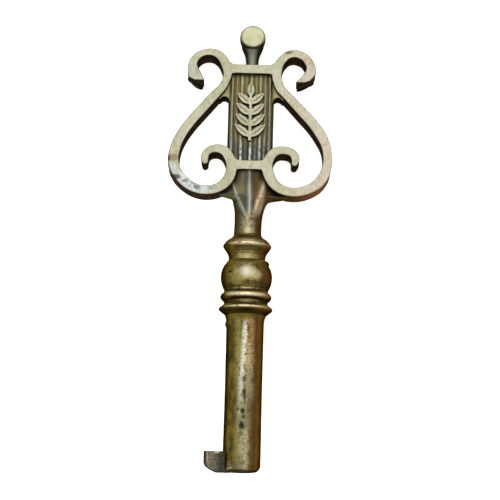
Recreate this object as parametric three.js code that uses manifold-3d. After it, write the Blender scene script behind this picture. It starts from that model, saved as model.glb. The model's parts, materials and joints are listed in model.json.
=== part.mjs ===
// A barrel key with a lyre-shaped bow, in brass: two strap arms, two crossbars,
// a reeded string column with a leaf sprig on it, a knobbed finial, a ribbed
// neck, a stack of turned collars on a hidden core, a bored barrel and its bit.
//
// Key frame, before the key is laid down: x across the bow, y along the key
// towards the finial, z out of the front face. y = 0 is the datum line just
// under the rim of the upper collar. Millimetres and degrees.

import * as THREE from 'three';
import { mergeVertices } from 'three/addons/utils/BufferGeometryUtils.js';
import Module from 'manifold-3d';

const wasm = await Module();
wasm.setup();

// ---- Driving dimensions ----------------------------------------------------

const brazeGap = 0.1; // film of solder between two neighbours

const bowThickness = 4.5;
const faceZ = bowThickness / 2;

// Stations of a strap arm's centre line: x, y and the strap's width there,
// from below the cut end of the top scroll to the end of the inner volute.
const leftArmStations = [
  [8.95, 28.5, 2.0], [9.6, 29.8, 2.15], [10.15, 31.1, 1.94], [10.2, 32.25, 1.5],
  [9.68, 33.3, 1.35], [8.68, 34.05, 1.2], [7.25, 34.34, 1.26], [6.05, 34.03, 1.42],
  [5.15, 33.25, 1.55], [4.55, 32.2, 1.65], [4.2, 31.1, 1.6], [4.2, 30.1, 1.45],
  [4.48, 29.1, 1.35], [5.03, 28.0, 1.35], [6.47, 26.4, 1.6], [8.45, 24.0, 1.65],
  [10.1, 22.0, 1.7], [11.45, 20.0, 1.7], [12.43, 18.0, 1.75], [12.95, 16.0, 1.85],
  [12.9, 14.0, 1.9], [12.2, 12.5, 1.85], [11.05, 11.25, 1.75], [9.4, 10.2, 1.6],
  [7.4, 9.78, 1.56], [5.3, 10.2, 1.6], [3.88, 11.3, 1.75], [3.15, 12.9, 1.8],
  [3.1, 14.4, 1.75], [3.55, 15.7, 1.75], [4.25, 16.65, 1.7], [5.42, 17.1, 1.5],
  [6.75, 16.85, 1.3], [7.5, 16.1, 1.3], [7.65, 15.4, 1.3], [7.6, 14.85, 1.1],
];
const rightArmStations = [
  [7.6, 28.3, 1.3], [9.3, 29.9, 1.55], [10.15, 31.2, 1.75], [10.1, 32.2, 1.6],
  [9.67, 33.05, 1.52], [8.95, 33.85, 1.45], [7.45, 34.4, 1.43], [6.15, 34.12, 1.42],
  [5.35, 33.45, 1.48], [4.7, 32.5, 1.6], [4.32, 31.2, 1.7], [4.3, 30.2, 1.68],
  [4.5, 29.2, 1.58], [4.95, 28.1, 1.55], [6.45, 26.45, 1.52], [8.75, 24.0, 1.7],
  [10.6, 22.0, 1.76], [12.03, 20.0, 1.8], [12.95, 18.0, 1.62], [13.26, 16.0, 1.5],
  [13.2, 14.5, 1.62], [12.8, 13.0, 1.75], [11.8, 11.5, 1.75], [10.5, 10.55, 1.65],
  [8.9, 9.92, 1.56], [7.3, 9.78, 1.56], [5.75, 10.1, 1.6], [4.5, 10.85, 1.7],
  [3.65, 11.95, 1.8], [3.14, 13.3, 1.85], [3.08, 14.5, 1.75], [3.38, 15.6, 1.7],
  [4.0, 16.5, 1.6], [4.85, 16.98, 1.45], [6.1, 17.03, 1.4], [7.1, 16.7, 1.38],
  [7.7, 16.0, 1.42], [7.8, 15.3, 1.38], [7.65, 14.85, 1.1],
];
const scrollCutY = 29.2; // the top scrolls end in a level cut
const scrollTopY = 35.1;
const strapSamples = 88;
const strapEndSteps = 5;

const yokeBar = { low: 30.6, high: 32.2, half: 4.2 };
const tailBar = { low: 13.56, high: 15.15, half: 3.0 };

const column = { half: 3.92, crown: 1.15, sag: 0.25, reeds: 9, pitch: 0.83, reedHeight: 0.32 };
const webHalfThickness = 1.1;
const webLowY = 26.3;

const emblem = {
  x: -0.1, low: 18.6, high: 29.1, back: 1.55, pairs: 4, pairStep: 1.95, lift: 40,
  leafLength: 3.5, leafWidth: 1.12, stemHalf: 0.28,
};

const knob = { y: 37.3, face: 2.0, waist: 2.28, back: 1.9, backZ: -1.7, squash: 0.93 };
const peg = { tip: 1.1, low: 32.3, high: 36.4, shoulder: 1.95 };

const neckRadius = 2.32;
const coreRadius = 1.55;
const coreBore = coreRadius + 0.05;
const core = { low: -16.5, high: 6.5 };

const barrel = { tipY: -37.45, topY: -11.55, radius: 3.16, shoulder: 3.4, bore: 1.6, chamfer: 0.25 };
const bit = { outerX: -6.28, low: -37.56, high: -34.2, halfThickness: 1.5, corner: 1.9 };
const tenon = { shoulderX: -3.0, rootX: -1.1, halfThickness: 1.3 }; // the bit's root, in its slot

const turnSegments = 40;

// Turned profiles from the low end to the high end: y, radius.
const upperCollarProfile = [
  [-0.75, 3.27], [-0.3, 3.62], [0.5, 4.12], [1.3, 3.65], [1.6, 3.3], [2.0, 2.7], [2.4, 2.34],
];
const coveProfile = [[-2.0, 3.16], [-1.5, 3.06], [-0.85, 3.22]];
const bulbProfile = [
  [-7.3, 3.66], [-6.7, 3.93], [-5.9, 4.22], [-4.85, 4.36], [-3.8, 4.22], [-2.9, 3.85], [-2.1, 3.3],
];
const middleCollarProfile = [[-8.95, 3.86], [-8.65, 4.18], [-8.3, 4.34], [-7.8, 4.16], [-7.4, 3.74]];
const spacerProfile = [[-9.6, 3.78], [-9.05, 3.72]];
const lowerCollarProfile = [
  [-11.45, 3.42], [-11.1, 3.75], [-10.7, 4.25], [-10.3, 4.58], [-10.0, 4.35], [-9.7, 3.95],
];
const neckProfile = [ // y, half-width, half-depth
  [2.5, 2.34, 2.34], [3.2, 2.32, 2.32], [5.2, 2.32, 2.3], [6.7, 2.62, 2.15],
  [8.0, 2.95, 1.95], [8.8, 3.2, 1.85], [10.2, 3.4, 1.7], [11.8, 3.1, 1.6], [13.46, 2.9, 1.5],
];

// ---- Materials ---------------------------------------------------------------

function metal(color, roughness) {
  return new THREE.MeshStandardMaterial({ color, roughness, metalness: 1 });
}

const polishedBrass = metal(0xd5d2b4, 0.4);
const patinatedBrass = metal(0x7a6a3a, 0.5);
const reedBrass = metal(0x6b6245, 0.55);
const greyMetal = metal(0x6b6552, 0.55);

// ---- Helpers -------------------------------------------------------------------

const key = new THREE.Group();

// A closed geometry as a solid that can be joined and cut.
function solid(geometry) {
  const bare = geometry.clone();
  bare.deleteAttribute('normal');
  bare.deleteAttribute('uv');
  const merged = mergeVertices(bare, 1e-5);
  return new wasm.Manifold(new wasm.Mesh({
    numProp: 3,
    vertProperties: new Float32Array(merged.attributes.position.array),
    triVerts: new Uint32Array(merged.index.array),
  }));
}

function geometryOf(body) {
  const mesh = body.getMesh();
  const geometry = new THREE.BufferGeometry();
  geometry.setAttribute('position', new THREE.BufferAttribute(new Float32Array(mesh.vertProperties), 3));
  geometry.setIndex(new THREE.BufferAttribute(new Uint32Array(mesh.triVerts), 1));
  geometry.computeVertexNormals();
  return geometry;
}

function addPart(name, body, material) {
  const mesh = new THREE.Mesh(geometryOf(body), material);
  mesh.name = name;
  key.add(mesh);
}

// An outline in x and y, as thick as from lowZ to highZ.
function plate(shape, lowZ, highZ) {
  const depth = highZ - lowZ;
  const geometry = new THREE.ExtrudeGeometry(shape, { depth, bevelEnabled: false, curveSegments: 10 });
  geometry.translate(0, 0, lowZ);
  return solid(geometry);
}

function block(lowX, highX, lowY, highY, lowZ, highZ) {
  const geometry = new THREE.BoxGeometry(highX - lowX, highY - lowY, highZ - lowZ);
  geometry.translate((lowX + highX) / 2, (lowY + highY) / 2, (lowZ + highZ) / 2);
  return solid(geometry);
}

// A turned ring about the y axis, bored out to the given radius.
function turnedRing(profile, bore) {
  const first = profile[0][0];
  const last = profile[profile.length - 1][0];
  const loop = [[first, bore], ...profile, [last, bore], [first, bore]];
  return solid(new THREE.LatheGeometry(loop.map(([y, r]) => new THREE.Vector2(r, y)), turnSegments));
}

// A turned solid bar about the y axis.
function turnedBar(profile) {
  const first = profile[0][0];
  const last = profile[profile.length - 1][0];
  const loop = [[first, 0], ...profile, [last, 0]];
  return solid(new THREE.LatheGeometry(loop.map(([y, r]) => new THREE.Vector2(r, y)), turnSegments));
}

// ---- Bow arms --------------------------------------------------------------------

// The outline of a strap that follows its stations. grow widens it on both
// sides, which makes the tool that cuts its neighbours clear of it.
function strapShape(stations, side, grow) {
  const points = stations.map(([x, y, width]) => new THREE.Vector3(side * x, y, width));
  const curve = new THREE.CatmullRomCurve3(points, false, 'centripetal');
  const inner = [];
  const outer = [];
  let end = null;
  for (let i = 0; i <= strapSamples; i += 1) {
    const at = curve.getPointAt(i / strapSamples);
    const along = curve.getTangentAt(i / strapSamples);
    const heading = new THREE.Vector2(along.x, along.y).normalize();
    const normal = new THREE.Vector2(-heading.y, heading.x);
    const reach = at.z / 2 + grow;
    inner.push(new THREE.Vector2(at.x + normal.x * reach, at.y + normal.y * reach));
    outer.push(new THREE.Vector2(at.x - normal.x * reach, at.y - normal.y * reach));
    end = { at, heading, normal, reach };
  }
  const roundEnd = [];
  for (let i = 1; i < strapEndSteps; i += 1) {
    const turn = (Math.PI * i) / strapEndSteps;
    const across = end.reach * Math.cos(turn);
    const ahead = end.reach * Math.sin(turn);
    roundEnd.push(new THREE.Vector2(
      end.at.x + end.normal.x * across + end.heading.x * ahead,
      end.at.y + end.normal.y * across + end.heading.y * ahead,
    ));
  }
  const cutLevel = scrollCutY - grow;
  const trimmed = (edge) => edge.slice(edge.findIndex((p) => p.y > cutLevel));
  return new THREE.Shape([...trimmed(inner), ...roundEnd, ...trimmed(outer).reverse()]);
}

function arm(stations, side) {
  return plate(strapShape(stations, side, 0), -faceZ, faceZ);
}

function armClearance(stations, side) {
  return plate(strapShape(stations, side, brazeGap), -faceZ - 1, faceZ + 1);
}

const bothArmClearances = armClearance(leftArmStations, -1).add(armClearance(rightArmStations, 1));

// ---- Crossbars ---------------------------------------------------------------------

function crossbar(bar, grow) {
  return block(-bar.half, bar.half, bar.low - grow, bar.high + grow, -faceZ - grow, faceZ + grow);
}

// ---- String column --------------------------------------------------------------------

// The reeded section, front and back alike, as an outline in x and z.
function reededSection() {
  const stepsPerReed = 6;
  const steps = column.reeds * stepsPerReed;
  const reededHalf = (column.reeds * column.pitch) / 2;
  const front = [new THREE.Vector2(-column.half, column.crown - column.sag)];
  for (let i = 0; i <= steps; i += 1) {
    const x = -reededHalf + (2 * reededHalf * i) / steps;
    const crown = column.crown - column.sag * (x / column.half) ** 2;
    const bump = Math.abs(Math.sin((Math.PI * i) / stepsPerReed)) ** 0.7;
    front.push(new THREE.Vector2(x, crown + column.reedHeight * bump));
  }
  front.push(new THREE.Vector2(column.half, column.crown - column.sag));
  const back = front.map((p) => new THREE.Vector2(-p.x, -p.y));
  return new THREE.Shape([...front, ...back].reverse());
}

function reededBar(lowY, highY) {
  const geometry = new THREE.ExtrudeGeometry(reededSection(), { depth: highY - lowY, bevelEnabled: false });
  geometry.rotateX(Math.PI / 2);
  geometry.translate(0, highY, 0);
  return solid(geometry);
}

// The thin plate that ties the column's head to the arms on both sides.
function headWeb(highY) {
  const rightSide = [[5.4, webLowY], [5.75, 27.1], [5.0, 28.0], [4.5, 29.1], [4.25, highY]];
  const leftSide = rightSide.map(([x, y]) => [-x, y]).reverse();
  const shape = new THREE.Shape([...rightSide, ...leftSide].map(([x, y]) => new THREE.Vector2(x, y)));
  return plate(shape, -webHalfThickness, webHalfThickness);
}

function stringColumn() {
  const lowY = tailBar.high + brazeGap;
  const highY = yokeBar.low - brazeGap;
  return reededBar(lowY, highY).add(headWeb(highY)).subtract(bothArmClearances);
}

// ---- Leaf sprig --------------------------------------------------------------------------

// A leaf with its stalk end at (0, 0), pointing along +x: two arcs that meet.
function leafShape(length, width) {
  const shape = new THREE.Shape();
  shape.moveTo(0, 0);
  shape.bezierCurveTo(length * 0.25, -width * 0.7, length * 0.75, -width * 0.6, length, 0);
  shape.bezierCurveTo(length * 0.75, width * 0.6, length * 0.25, width * 0.7, 0, 0);
  return shape;
}

function leaf(x, y, length, width, degrees) {
  const geometry = new THREE.ExtrudeGeometry(leafShape(length, width), {
    depth: faceZ - emblem.back, bevelEnabled: false, curveSegments: 8,
  });
  geometry.rotateZ(THREE.MathUtils.degToRad(degrees));
  geometry.translate(x, y, emblem.back);
  return solid(geometry);
}

function leafSprig() {
  const { x, low, high, back, pairs, pairStep, lift, leafLength, leafWidth, stemHalf } = emblem;
  const top = low + pairStep * pairs;
  let sprig = block(x - stemHalf, x + stemHalf, low, top + 0.6, back, faceZ);
  for (let i = 0; i < pairs; i += 1) {
    const y = low + 0.7 + pairStep * i;
    const length = leafLength - 0.15 * i;
    for (const degrees of [lift, 180 - lift]) {
      sprig = sprig.add(leaf(x, y, length, leafWidth, degrees));
    }
  }
  return sprig.add(leaf(x, top, high - top, leafWidth, 90));
}

// ---- Finial ----------------------------------------------------------------------------------

function finial() {
  const button = [
    new THREE.Vector2(0, knob.backZ), new THREE.Vector2(knob.back, knob.backZ),
    new THREE.Vector2(knob.waist, -0.4), new THREE.Vector2(knob.waist, 0.6),
    new THREE.Vector2(knob.face, faceZ), new THREE.Vector2(0, faceZ),
  ];
  const head = new THREE.LatheGeometry(button, turnSegments);
  head.rotateX(Math.PI / 2);
  head.scale(1, knob.squash, 1);
  head.translate(0, knob.y, 0);
  const shank = turnedBar([
    [peg.low, peg.tip], [peg.low + 1.6, peg.tip + 0.08], [peg.low + 2.6, peg.tip + 0.3],
    [peg.low + 3.4, peg.shoulder - 0.2], [peg.high, peg.shoulder], [knob.y, peg.shoulder - 0.4],
  ]);
  const frontLimit = block(-3, 3, peg.low, knob.y + 3, knob.backZ, faceZ);
  return solid(head).add(shank.intersect(frontLimit));
}

// ---- Neck ----------------------------------------------------------------------------------------

// A rib that lies on the neck's front from one point to another, tapering.
function rib(fromX, fromY, toX, toY, z, thick, thin) {
  const from = new THREE.Vector3(fromX, fromY, z);
  const to = new THREE.Vector3(toX, toY, z + 0.35);
  const along = new THREE.Vector3().subVectors(to, from);
  const geometry = new THREE.CylinderGeometry(thin, thick, along.length(), 10);
  const upright = new THREE.Vector3(0, 1, 0);
  const turn = new THREE.Quaternion().setFromUnitVectors(upright, along.clone().normalize());
  geometry.applyQuaternion(turn);
  geometry.translate((from.x + to.x) / 2, (from.y + to.y) / 2, (from.z + to.z) / 2);
  return solid(geometry);
}

function neck() {
  const low = neckProfile[0][0];
  const high = neckProfile[neckProfile.length - 1][0];
  const rows = neckProfile.map(([y, half]) => new THREE.Vector2(half, y));
  const outline = [new THREE.Vector2(0, low), ...rows, new THREE.Vector2(0, high)];
  const geometry = new THREE.LatheGeometry(outline, turnSegments);
  const position = geometry.attributes.position;
  for (let i = 0; i < position.count; i += 1) {
    const row = neckProfile.find(([y]) => Math.abs(y - position.getY(i)) < 1e-4);
    if (row) {
      const [, half, depth] = row;
      position.setZ(i, (position.getZ(i) * depth) / half);
    }
  }
  const ribs = rib(0, 13.3, 0, 6.2, 1.3, 0.55, 0.4)
    .add(rib(-2.7, 11.0, -0.8, 5.6, 1.15, 0.5, 0.3))
    .add(rib(2.5, 10.6, 1.0, 5.4, 1.2, 0.5, 0.3));
  const coreHole = turnedBar([[low - 1, coreBore], [core.high + 0.1, coreBore]]);
  return solid(geometry).add(ribs).subtract(coreHole).subtract(bothArmClearances);
}

// ---- Barrel and bit -----------------------------------------------------------------------------

// The bit's blade, grown on every side where it cuts its own slot.
function bitBlade(grow) {
  const left = bit.outerX - grow;
  const low = bit.low - grow;
  const shape = new THREE.Shape();
  shape.moveTo(tenon.shoulderX + grow, low);
  shape.lineTo(tenon.shoulderX + grow, bit.high + grow);
  shape.lineTo(left, bit.high + grow);
  shape.lineTo(left, low + bit.corner * 0.75);
  shape.quadraticCurveTo(left + 0.15, low + bit.corner * 0.4, left + bit.corner, low);
  return plate(shape, -bit.halfThickness - grow, bit.halfThickness + grow);
}

function bitTenon(grow) {
  return block(
    tenon.shoulderX - 0.2, tenon.rootX + grow, bit.low - grow, bit.high + grow,
    -tenon.halfThickness - grow, tenon.halfThickness + grow,
  );
}

function keyBit() {
  const boreClearance = turnedBar([[bit.low - 1, barrel.bore + 0.05], [bit.high + 1, barrel.bore + 0.05]]);
  return bitBlade(0).add(bitTenon(0)).subtract(boreClearance);
}

function keyBarrel() {
  const profile = [
    [barrel.tipY, barrel.radius - barrel.chamfer],
    [barrel.tipY + barrel.chamfer, barrel.radius],
    [barrel.topY - 1.2, barrel.radius],
    [barrel.topY - 0.5, barrel.radius + 0.1],
    [barrel.topY, barrel.shoulder],
  ];
  return turnedRing(profile, barrel.bore).subtract(bitBlade(brazeGap)).subtract(bitTenon(brazeGap));
}

// ---- The key -------------------------------------------------------------------------------------

addPart('left_lyre_arm', arm(leftArmStations, -1), polishedBrass);
addPart('right_lyre_arm', arm(rightArmStations, 1), polishedBrass);
addPart('yoke_bar', crossbar(yokeBar, 0).subtract(bothArmClearances), polishedBrass);
addPart('tail_bar', crossbar(tailBar, 0).subtract(bothArmClearances), polishedBrass);
addPart('string_column', stringColumn(), reedBrass);
addPart('leaf_sprig', leafSprig(), polishedBrass);
addPart('finial_peg', finial(), patinatedBrass);
addPart('neck', neck(), patinatedBrass);
addPart('stem_core', turnedBar([[core.low, coreRadius], [core.high, coreRadius]]), greyMetal);
addPart('upper_collar', turnedRing(upperCollarProfile, coreBore), patinatedBrass);
addPart('cove_sleeve', turnedRing(coveProfile, coreBore), patinatedBrass);
addPart('baluster_bulb', turnedRing(bulbProfile, coreBore), patinatedBrass);
addPart('middle_collar', turnedRing(middleCollarProfile, coreBore), patinatedBrass);
addPart('collar_spacer', turnedRing(spacerProfile, coreBore), patinatedBrass);
addPart('lower_collar', turnedRing(lowerCollarProfile, coreBore), patinatedBrass);
addPart('barrel', keyBarrel(), patinatedBrass);
addPart('bit', keyBit(), greyMetal);

// The key lies on its back as it comes to rest: on the upper collar's rim and
// on the backs of the two top scrolls, so the bow end dips a little. The
// origin is in the middle of its footprint, on the surface it lies on.
const [rimY, rimRadius] = upperCollarProfile[2];
key.rotation.x = -Math.atan2(rimRadius - faceZ, scrollTopY - rimY);
const laid = new THREE.Box3().setFromObject(key, true);
key.position.set(-(laid.min.x + laid.max.x) / 2, -(laid.min.y + laid.max.y) / 2, -laid.min.z);

export default key;
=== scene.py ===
# %% [markdown]
# # A lyre-bow barrel key
# This is a small brass key of the kind that opens a mantel clock's door or a
# little cabinet. Its bow is a lyre: two scrolled strap arms, a crossbar above
# and below, a reeded string panel and a knobbed peg. A ribbed neck runs into a
# turned stem, and a bored barrel carries a plain bit.
# The fixed frame gives every piece its place, so nothing here is fitted by eye.

# %% Load the frame
import json
import math

import bmesh
import bpy
import numpy as np
from mathutils import Matrix, Vector, noise


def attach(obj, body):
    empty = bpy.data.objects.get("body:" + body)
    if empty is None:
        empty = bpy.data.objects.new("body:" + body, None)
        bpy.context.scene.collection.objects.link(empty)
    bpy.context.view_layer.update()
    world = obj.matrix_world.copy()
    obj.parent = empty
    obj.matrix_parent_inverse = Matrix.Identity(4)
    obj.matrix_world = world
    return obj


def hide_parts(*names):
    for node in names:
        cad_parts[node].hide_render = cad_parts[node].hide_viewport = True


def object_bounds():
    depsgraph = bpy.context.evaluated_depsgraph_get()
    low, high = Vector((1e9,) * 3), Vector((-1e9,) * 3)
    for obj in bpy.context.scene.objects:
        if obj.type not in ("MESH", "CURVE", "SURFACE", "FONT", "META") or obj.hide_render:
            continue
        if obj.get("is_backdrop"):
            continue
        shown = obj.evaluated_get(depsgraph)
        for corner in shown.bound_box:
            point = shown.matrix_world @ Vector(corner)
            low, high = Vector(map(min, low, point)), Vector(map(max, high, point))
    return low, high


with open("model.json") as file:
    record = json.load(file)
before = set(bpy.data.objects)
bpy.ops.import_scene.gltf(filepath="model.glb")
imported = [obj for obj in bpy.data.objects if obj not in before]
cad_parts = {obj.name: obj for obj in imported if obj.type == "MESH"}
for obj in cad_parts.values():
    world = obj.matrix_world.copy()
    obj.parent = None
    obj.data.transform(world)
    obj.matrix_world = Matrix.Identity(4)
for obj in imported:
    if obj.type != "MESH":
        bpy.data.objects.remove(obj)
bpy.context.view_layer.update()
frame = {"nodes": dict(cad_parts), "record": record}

# %% [markdown]
# ## Where the key lies
# A key is easiest to draw flat: x across the bow, y along the key towards its
# finial, z out of the bow's front, in millimetres. The real one rests on its
# upper collar and its top scrolls, so it is tipped by about three degrees.
# Two of the record's mounts, the barrel's tip and the bit's flank, hold that
# tip exactly, so the drawing's frame is worked out from them.

# %% Lay the drawing's millimetres into the frame
MM = 0.001
TIP_MOUNT = Vector((0.0, -37.45, 2.25))   # the barrel_tip mount, as drawn
mounts = {mount["name"]: mount for mount in frame["record"]["mounts"]}
ALONG = -Vector(mounts["barrel_tip"]["axis"]).normalized()
UP = Vector(mounts["bit_flank"]["axis"]).normalized()
ACROSS = ALONG.cross(UP).normalized()
TURN = Matrix((ACROSS, ALONG, UP)).transposed()
ORIGIN = Vector(mounts["barrel_tip"]["pos_m"]) - TURN @ (TIP_MOUNT * MM)


def laid(points):
    """Rows of drawn millimetres as rows of metres in the frame."""
    return np.asarray(points) @ (np.array(TURN).T * MM) + np.array(ORIGIN)


print("tipped by", round(math.degrees(math.asin(-ALONG.z)), 2), "degrees")

# %% [markdown]
# ## Camera, light and floor
# The key lies on a plain white sheet and is seen from nearly overhead, a hand
# and a half away, with a long lens. One big softbox hangs over the bow and
# gives the flat faces their even sheen and the round stem its streak of light.
# The studio is bright overhead and dimmer towards the horizon, as a tent with
# open sides is, because brass needs something dark to reflect to look like
# metal. To the camera itself the walls are plain white.

# %% Camera
LOOK_AT = (0.475, 0.0, 0.0)
CAMERA_TILT = math.radians(12.0)
CAMERA_ROLL = math.radians(1.53)
CAMERA_DISTANCE = 280.0
FILM_WIDTH, LENS = 36.0, 118.94

back = Vector((0.0, -math.sin(CAMERA_TILT), math.cos(CAMERA_TILT)))
level = Vector((1.0, 0.0, 0.0))
rise = Vector((0.0, math.cos(CAMERA_TILT), math.sin(CAMERA_TILT)))
right = level * math.cos(CAMERA_ROLL) + rise * math.sin(CAMERA_ROLL)
top = rise * math.cos(CAMERA_ROLL) - level * math.sin(CAMERA_ROLL)
camera = bpy.data.objects.new("camera", bpy.data.cameras.new("camera"))
camera.data.sensor_width = FILM_WIDTH
camera.data.lens = LENS
camera.data.clip_start = 0.01
camera.data.clip_end = 20.0
facing = TURN @ Matrix((right, top, back)).transposed()
stand = Vector(laid(Vector(LOOK_AT) + back * CAMERA_DISTANCE))
camera.matrix_world = Matrix.Translation(stand) @ facing.to_4x4()
bpy.context.scene.collection.objects.link(camera)
bpy.context.scene.camera = camera
print("camera at", [round(c, 3) for c in camera.location])


# %% The two small helpers that every material and the studio use
def linear(hexadecimal):
    """An sRGB colour such as "C8B070" as linear RGBA."""
    shares = [int(hexadecimal[i:i + 2], 16) / 255 for i in (0, 2, 4)]
    return [c / 12.92 if c <= 0.04045 else ((c + 0.055) / 1.055) ** 2.4 for c in shares] + [1.0]


def add(tree, kind, inputs=None, **settings):
    """Adds one node with its settings, sets or links its inputs, and returns its first live output."""
    made = tree.nodes.new("ShaderNode" + kind)
    for name, value in settings.items():
        setattr(made, name, value)
    for name, value in (inputs or {}).items():
        if isinstance(value, bpy.types.NodeSocket):
            tree.links.new(value, made.inputs[name])
        else:
            made.inputs[name].default_value = value
    return next((out for out in made.outputs if out.enabled), None)


# %% Studio light
studio = bpy.data.worlds.new("studio")
bpy.context.scene.world = studio
studio.use_nodes = True
sky = studio.node_tree
sky.nodes.clear()
towards = add(sky, "SeparateXYZ", {0: add(sky, "TexCoord").node.outputs["Generated"]})
height = add(sky, "MapRange", {0: towards.node.outputs["Z"], 1: 0.0, 2: 0.85, 3: 0.0, 4: 1.0},
             interpolation_type="SMOOTHSTEP")
HORIZON = [0.34, 0.30, 0.25, 1.0]
ZENITH = [1.16, 1.15, 1.12, 1.0]
tent = add(sky, "Mix", {0: height, 6: HORIZON, 7: ZENITH}, data_type="RGBA")
seen_by = add(sky, "LightPath").node.outputs["Is Camera Ray"]
WALLS = [1.0, 1.0, 1.0, 1.0]
shade = add(sky, "Mix", {0: seen_by, 6: tent, 7: WALLS}, data_type="RGBA")
tree_out = sky.nodes.new("ShaderNodeOutputWorld")
sky.links.new(add(sky, "Background", {"Color": shade, "Strength": 1.0}), tree_out.inputs["Surface"])

SOFTBOX_LEAN = math.radians(21.0)      # from straight over the bow towards its finial
SOFTBOX_DISTANCE = 500.0
SOFTBOX_WIDTH, SOFTBOX_LENGTH = 0.24, 0.42
SOFTBOX_WATTS = 0.85
SOFTBOX_TINT = (1.0, 0.985, 0.95)
softbox = bpy.data.objects.new("softbox", bpy.data.lights.new("softbox", "AREA"))
softbox.data.shape = "RECTANGLE"
softbox.data.size = SOFTBOX_WIDTH
softbox.data.size_y = SOFTBOX_LENGTH
softbox.data.energy = SOFTBOX_WATTS
softbox.data.color = SOFTBOX_TINT
from_key = Vector((0.0, math.sin(SOFTBOX_LEAN), math.cos(SOFTBOX_LEAN)))
box_top = Vector((0.0, math.cos(SOFTBOX_LEAN), -math.sin(SOFTBOX_LEAN)))
hung = TURN @ Matrix((Vector((1, 0, 0)), box_top, from_key)).transposed()
softbox.matrix_world = Matrix.Translation(Vector(laid(from_key * SOFTBOX_DISTANCE))) @ hung.to_4x4()
bpy.context.scene.collection.objects.link(softbox)
bpy.context.scene.view_settings.view_transform = "Standard"
bpy.context.scene.view_settings.exposure = 0.0
print("softbox", softbox.data.size, "by", softbox.data.size_y, "m")

# %% Floor
SHEET_HALF = 1.5
sheet = bpy.data.meshes.new("paper_sheet")
corners = [(-SHEET_HALF, -SHEET_HALF, 0), (SHEET_HALF, -SHEET_HALF, 0),
           (SHEET_HALF, SHEET_HALF, 0), (-SHEET_HALF, SHEET_HALF, 0)]
sheet.from_pydata(corners, [], [(0, 1, 2, 3)])
floor = bpy.data.objects.new("paper_sheet", sheet)
bpy.context.scene.collection.objects.link(floor)
floor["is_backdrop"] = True
paper = bpy.data.materials.new("matt_white_paper")
paper.use_nodes = True
paper_tree = paper.node_tree
paper_shader = paper_tree.nodes["Principled BSDF"]
fibres = add(paper_tree, "TexNoise", {"Vector": add(paper_tree, "TexCoord").node.outputs["Object"],
                                      "Scale": 900.0, "Detail": 3.0})
white = add(paper_tree, "Mix", {0: fibres, 6: linear("FDFDFC"), 7: linear("FFFFFF")}, data_type="RGBA")
paper_tree.links.new(white, paper_shader.inputs["Base Color"])
paper_shader.inputs["Roughness"].default_value = 0.9
paper_shader.inputs["Specular IOR Level"].default_value = 0.0
paper_shader.inputs["Emission Color"].default_value = linear("FFFFFF")
paper_shader.inputs["Emission Strength"].default_value = 0.7
sheet.materials.append(paper)
print("sheet laid at z = 0")


# %% [markdown]
# ## From rows of numbers to a piece
# A piece's outline is a few listed stations. A centripetal Catmull-Rom
# curve goes through every one of them without overshooting, as a bent spline
# of wood would. Each cross-section along it becomes a ring of points, and
# neighbouring rings are skinned with four-sided faces.

# %% Curves through stations
def through(stations, per_span=24):
    """A smooth curve through the stations, as many rows as it needs."""
    rows = np.array(stations, float)
    ends = np.vstack([2 * rows[0] - rows[1], rows, 2 * rows[-1] - rows[-2]])
    t = np.linspace(0, 1, per_span, endpoint=False)[:, None]
    spans = []
    for a, b, c, d in zip(ends, ends[1:], ends[2:], ends[3:]):
        ab, bc, cd = (math.sqrt(max(np.linalg.norm(q - p), 1e-4)) for p, q in ((a, b), (b, c), (c, d)))
        leave = ((b - a) / ab - (c - a) / (ab + bc) + (c - b) / bc) * bc
        reach = ((c - b) / bc - (d - b) / (bc + cd) + (d - c) / cd) * bc
        spans.append((2 * t**3 - 3 * t**2 + 1) * b + (t**3 - 2 * t**2 + t) * leave
                     + (3 * t**2 - 2 * t**3) * c + (t**3 - t**2) * reach)
    return np.vstack(spans + [rows[-1:]])


def evenly(curve, count):
    """The same curve with its rows an even distance apart."""
    steps = np.linalg.norm(np.diff(curve[:, :2], axis=0), axis=1)
    at = np.concatenate([[0.0], np.cumsum(steps)])
    wanted = np.linspace(0.0, at[-1], count)
    return np.column_stack([np.interp(wanted, at, column) for column in curve.T])


def unevenness(points, size, seed=0.0):
    """Smooth noise between -1 and 1 at each point, for lumps about size mm across."""
    shift = Vector((seed, 2.7 * seed, -1.3 * seed))
    return np.array([noise.noise(Vector(p) / size + shift) for p in points])


def ease(value, low, high):
    """0 below low, 1 above high, and a smooth step between."""
    t = np.clip((value - low) / (high - low), 0.0, 1.0)
    return t * t * (3 - 2 * t)


# %% Skins and pieces
def ring_faces(rings, around, round_again=False, capped=False):
    """Four-sided faces between rings of points. If asked, they also join the last ring to the first, or
    the ends are capped."""
    faces = []
    for i in range(rings if round_again else rings - 1):
        here, there = i * around, ((i + 1) % rings) * around
        for j in range(around):
            k = (j + 1) % around
            faces.append((here + j, here + k, there + k, there + j))
    if capped:
        faces += [tuple(reversed(range(around))), tuple(range((rings - 1) * around, rings * around))]
    return faces


def tidy_mesh(name, points, faces):
    """A closed mesh, its doubled points joined and its faces turned outwards."""
    mesh = bpy.data.meshes.new(name)
    mesh.from_pydata([tuple(p) for p in points], [], faces)
    work = bmesh.new()
    work.from_mesh(mesh)
    bmesh.ops.remove_doubles(work, verts=work.verts, dist=1e-4)
    bmesh.ops.dissolve_degenerate(work, edges=work.edges, dist=1e-5)
    bmesh.ops.recalc_face_normals(work, faces=work.faces)
    work.to_mesh(mesh)
    work.free()
    return mesh


def points_of(mesh):
    flat = np.empty(len(mesh.vertices) * 3)
    mesh.vertices.foreach_get("co", flat)
    return flat.reshape(-1, 3)


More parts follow.
